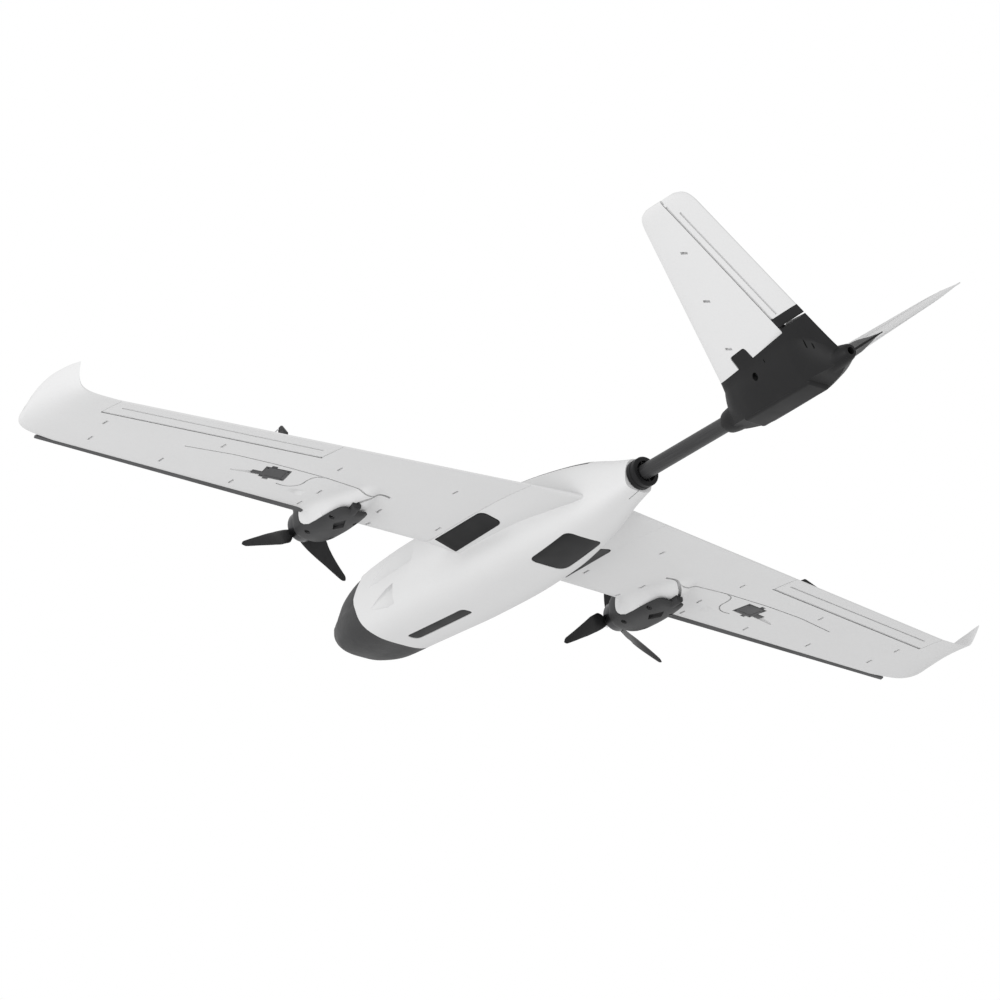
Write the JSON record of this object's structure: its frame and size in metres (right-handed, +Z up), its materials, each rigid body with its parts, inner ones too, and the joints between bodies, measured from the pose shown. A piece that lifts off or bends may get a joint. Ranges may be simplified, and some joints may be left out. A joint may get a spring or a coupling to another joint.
{
  "type": "model aeroplane",
  "caption": "Foam model aeroplane with a pod fuselage, tapered wing with upturned tips, tractor motors on the wing, and a V tail on a carbon boom.",
  "frame": {"origin": "middle of the overall box, on the surface that the belly stands on", "axes": "+Z up, nose towards -Y, port (left) wing towards +X"},
  "size_m": [0.9874, 0.7596, 0.1585],
  "materials": {
    "fuselage_shell": "fine-beaded moulded foam",
    "battery_hatch": "fine-beaded moulded foam",
    "wing_left": "fine-beaded moulded foam",
    "wing_right": "fine-beaded moulded foam",
    "aileron_left": "fine-beaded moulded foam",
    "aileron_right": "fine-beaded moulded foam",
    "fin_left": "fine-beaded moulded foam",
    "fin_right": "fine-beaded moulded foam",
    "ruddervator_left": "fine-beaded moulded foam",
    "ruddervator_right": "fine-beaded moulded foam",
    "nose_bumper": "matt moulded bumper",
    "belly_skid": "fine-textured injection moulding",
    "belly_window_cover": "fine-textured injection moulding",
    "wing_root_panel_left": "fine-textured injection moulding",
    "wing_root_panel_right": "fine-textured injection moulding",
    "boom_collar": "fine-textured injection moulding",
    "equipment_tray": "fine-textured injection moulding",
    "tail_housing_lower": "fine-textured injection moulding",
    "tail_housing_upper": "fine-textured injection moulding",
    "nacelle_cover_left": "fine-textured injection moulding",
    "nacelle_cover_right": "fine-textured injection moulding",
    "motor_mount_left": "fine-textured injection moulding",
    "motor_mount_right": "fine-textured injection moulding",
    "ruddervator_cap_left": "fine-textured injection moulding",
    "ruddervator_cap_right": "fine-textured injection moulding",
    "aileron_horn_left": "fine-textured injection moulding",
    "aileron_horn_right": "fine-textured injection moulding",
    "leading_edge_strip_left": "satin hard strip",
    "leading_edge_strip_right": "satin hard strip",
    "rear_deck_cover": "satin hard strip",
    "tail_boom": "woven carbon fibre tube",
    "wing_spar": "woven carbon fibre tube",
    "servo_arm_left": "glass-filled nylon",
    "servo_arm_right": "glass-filled nylon",
    "propeller_left": "satin moulded blades",
    "propeller_right": "satin moulded blades",
    "motor_bell_left": "anodised",
    "motor_bell_right": "anodised",
    "motor_stator_left": "copper windings on steel",
    "motor_stator_right": "copper windings on steel",
    "prop_nut_left": "bright steel",
    "prop_nut_right": "bright steel",
    "aileron_pushrod_left": "bright steel",
    "aileron_pushrod_right": "bright steel",
    "aileron_servo_left": "moulded servo case",
    "aileron_servo_right": "moulded servo case",
    "tail_servo_left": "moulded servo case",
    "tail_servo_right": "moulded servo case",
    "flight_controller": "circuit board",
    "receiver": "circuit board",
    "esc_left": "circuit board",
    "esc_right": "circuit board",
    "battery": "shrink-wrapped cell pack"
  },
  "bodies": {
    "airframe": {"fuselage_shell": "fuselage_shell", "wing_left": "wing_left", "wing_right": "wing_right", "fin_left": "fin_left", "fin_right": "fin_right", "nose_bumper": "nose_bumper", "belly_skid": "belly_skid", "belly_window_cover": "belly_window_cover", "wing_root_panel_left": "wing_root_panel_left", "wing_root_panel_right": "wing_root_panel_right", "boom_collar": "boom_collar", "equipment_tray": "equipment_tray", "tail_housing_lower": "tail_housing_lower", "tail_housing_upper": "tail_housing_upper", "nacelle_cover_left": "nacelle_cover_left", "nacelle_cover_right": "nacelle_cover_right", "motor_mount_left": "motor_mount_left", "motor_mount_right": "motor_mount_right", "leading_edge_strip_left": "leading_edge_strip_left", "leading_edge_strip_right": "leading_edge_strip_right", "rear_deck_cover": "rear_deck_cover", "tail_boom": "tail_boom", "wing_spar": "wing_spar", "motor_stator_left": "motor_stator_left", "motor_stator_right": "motor_stator_right", "aileron_servo_left": "aileron_servo_left", "aileron_servo_right": "aileron_servo_right", "tail_servo_left": "tail_servo_left", "tail_servo_right": "tail_servo_right", "flight_controller": "flight_controller", "receiver": "receiver", "esc_left": "esc_left", "esc_right": "esc_right", "battery": "battery"},
    "aileron_left": {"aileron_left": "aileron_left", "aileron_horn_left": "aileron_horn_left"},
    "aileron_right": {"aileron_right": "aileron_right", "aileron_horn_right": "aileron_horn_right"},
    "servo_arm_left": {"servo_arm_left": "servo_arm_left"},
    "servo_arm_right": {"servo_arm_right": "servo_arm_right"},
    "pushrod_left": {"aileron_pushrod_left": "aileron_pushrod_left"},
    "pushrod_right": {"aileron_pushrod_right": "aileron_pushrod_right"},
    "rotor_left": {"motor_bell_left": "motor_bell_left", "propeller_left": "propeller_left", "prop_nut_left": "prop_nut_left"},
    "rotor_right": {"motor_bell_right": "motor_bell_right", "propeller_right": "propeller_right", "prop_nut_right": "prop_nut_right"},
    "ruddervator_left": {"ruddervator_left": "ruddervator_left", "ruddervator_cap_left": "ruddervator_cap_left"},
    "ruddervator_right": {"ruddervator_right": "ruddervator_right", "ruddervator_cap_right": "ruddervator_cap_right"},
    "hatch": {"battery_hatch": "battery_hatch"}
  },
  "joints": [
    {"name": "aileron_hinge_left", "type": "hinge", "parent": "airframe", "child": "aileron_left", "pos_m": [0.2445, -0.0477, 0.04059], "axis": [0.9809, -0.193, 0.0225], "range_deg": [-25, 25]},
    {"name": "servo_arm_turn_left", "type": "hinge", "parent": "airframe", "child": "servo_arm_left", "pos_m": [0.27512, -0.10061, 0.0456], "axis": [0.9809, -0.193, 0.0225], "range_deg": [-25, 25]},
    {"name": "pushrod_pivot_left", "type": "hinge", "parent": "servo_arm_left", "child": "pushrod_left", "pos_m": [0.2748, -0.10054, 0.0601], "axis": [0.9809, -0.193, 0.0225], "range_deg": [-25, 25]},
    {"name": "ruddervator_hinge_left", "type": "hinge", "parent": "airframe", "child": "ruddervator_left", "pos_m": [0.03887, 0.33618, 0.06616], "axis": [0.7705, -0.0995, 0.6296], "range_deg": [-25, 25]},
    {"name": "propeller_spin_left", "type": "hinge", "parent": "airframe", "child": "rotor_left", "pos_m": [0.1723, -0.1983, 0.0431], "axis": [0, -1, 0], "continuous": true},
    {"name": "aileron_hinge_right", "type": "hinge", "parent": "airframe", "child": "aileron_right", "pos_m": [-0.2445, -0.0477, 0.04059], "axis": [0.9809, 0.193, -0.0225], "range_deg": [-25, 25]},
    {"name": "servo_arm_turn_right", "type": "hinge", "parent": "airframe", "child": "servo_arm_right", "pos_m": [-0.27512, -0.10061, 0.0456], "axis": [0.9809, 0.193, -0.0225], "range_deg": [-25, 25]},
    {"name": "pushrod_pivot_right", "type": "hinge", "parent": "servo_arm_right", "child": "pushrod_right", "pos_m": [-0.2748, -0.10054, 0.0601], "axis": [0.9809, 0.193, -0.0225], "range_deg": [-25, 25]},
    {"name": "ruddervator_hinge_right", "type": "hinge", "parent": "airframe", "child": "ruddervator_right", "pos_m": [-0.03887, 0.33618, 0.06616], "axis": [0.7705, 0.0995, -0.6296], "range_deg": [-25, 25]},
    {"name": "propeller_spin_right", "type": "hinge", "parent": "airframe", "child": "rotor_right", "pos_m": [-0.1723, -0.1983, 0.0431], "axis": [0, -1, 0], "continuous": true},
    {"name": "hatch_lift", "type": "slide", "parent": "airframe", "child": "hatch", "axis": [0, 0, 1], "range_m": [0, 0.08]}
  ],
  "couplings": [
    {"joint": "servo_arm_turn_left", "follows": "aileron_hinge_left", "ratio": 1},
    {"joint": "pushrod_pivot_left", "follows": "aileron_hinge_left", "ratio": -1},
    {"joint": "servo_arm_turn_right", "follows": "aileron_hinge_right", "ratio": 1},
    {"joint": "pushrod_pivot_right", "follows": "aileron_hinge_right", "ratio": -1}
  ]
}
